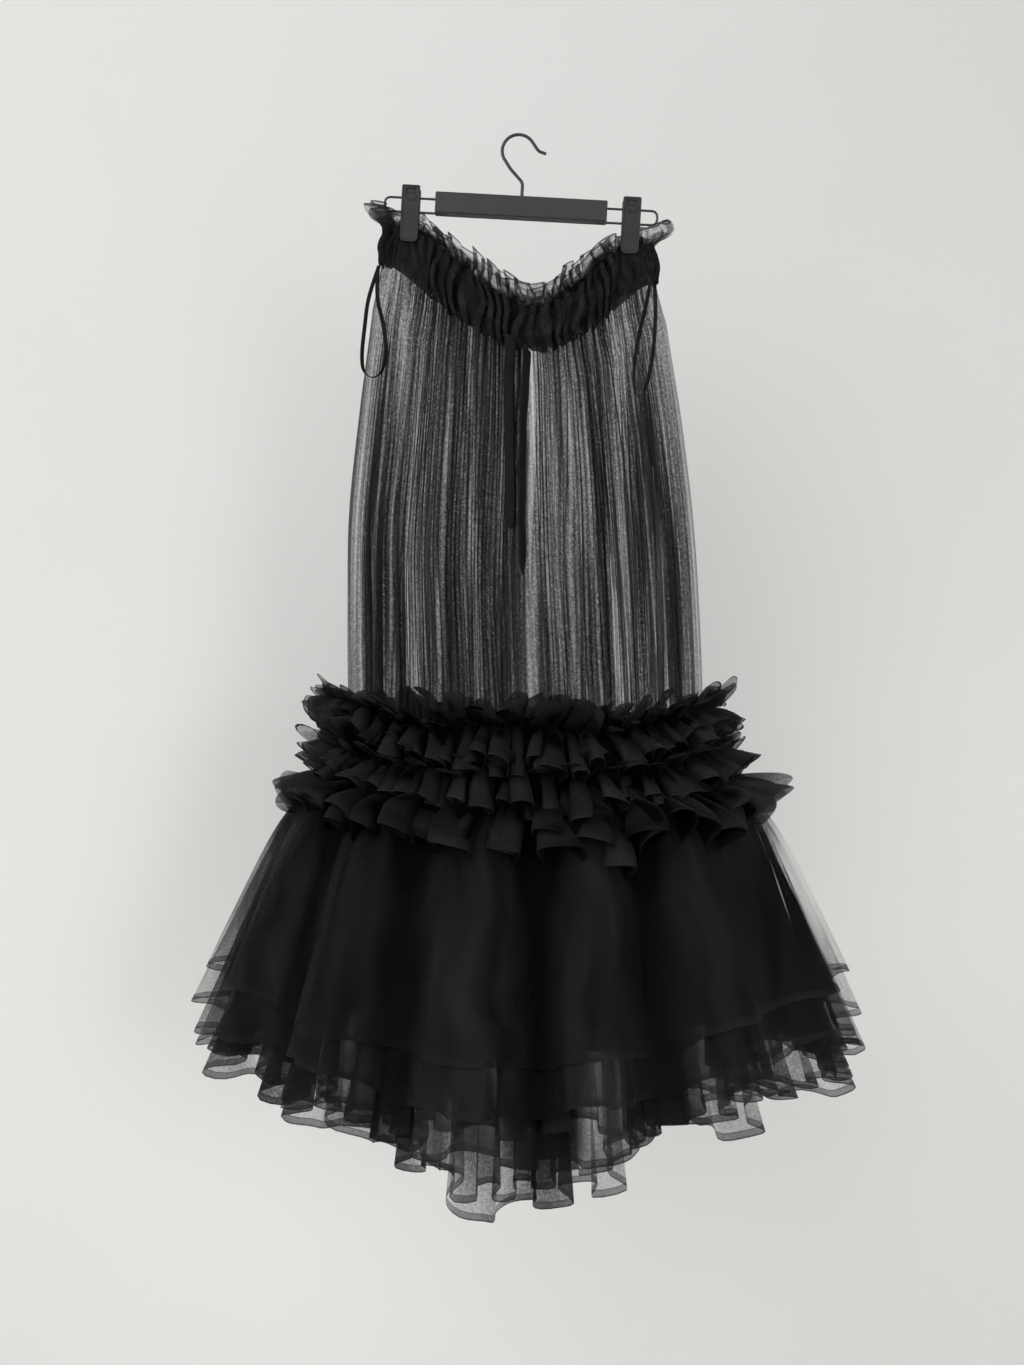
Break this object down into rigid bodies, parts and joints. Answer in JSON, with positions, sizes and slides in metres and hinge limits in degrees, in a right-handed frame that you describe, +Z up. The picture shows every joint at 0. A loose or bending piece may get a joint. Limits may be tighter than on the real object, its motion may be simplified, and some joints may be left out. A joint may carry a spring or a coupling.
{
  "type": "skirt on a clip hanger",
  "caption": "Long sheer black net skirt with a gathered drawstring waist, hip ruffles and a tiered flared flounce, hung by its waist from a clip hanger.",
  "frame": {"origin": "inside top of the hanger's hook, where it hangs", "axes": "+Z up, +X to the right when the front of the skirt is seen, the front faces -Y"},
  "size_m": [0.6866, 0.573, 1.0673],
  "materials": {
    "hanger_plastic": "satin black plastic",
    "hanger_steel": "black wire",
    "body_net": "sheer net",
    "gathered_net": "dense gathered net",
    "flounce_net": "sheer net in layers",
    "ribbon": "satin ribbon"
  },
  "bodies": {
    "root": {"hanger_bar": "hanger_plastic", "hanger_hook": "hanger_steel", "hanger_rail_left": "hanger_steel", "hanger_rail_right": "hanger_steel", "clip_left_front": "hanger_plastic", "clip_left_back": "hanger_plastic", "clip_left_coil": "hanger_steel", "clip_right_front": "hanger_plastic", "clip_right_back": "hanger_plastic", "clip_right_coil": "hanger_steel", "waist_frill": "body_net", "waist_casing": "gathered_net", "body_front": "body_net", "body_back": "body_net", "ruffle_1": "gathered_net", "ruffle_2": "gathered_net", "ruffle_3": "gathered_net", "flounce_1": "flounce_net", "flounce_2": "flounce_net", "flounce_3": "flounce_net", "flounce_4": "flounce_net", "tie_short": "ribbon", "tie_long": "ribbon", "loop_left": "ribbon", "loop_right": "ribbon"}
  },
  "joints": []
}
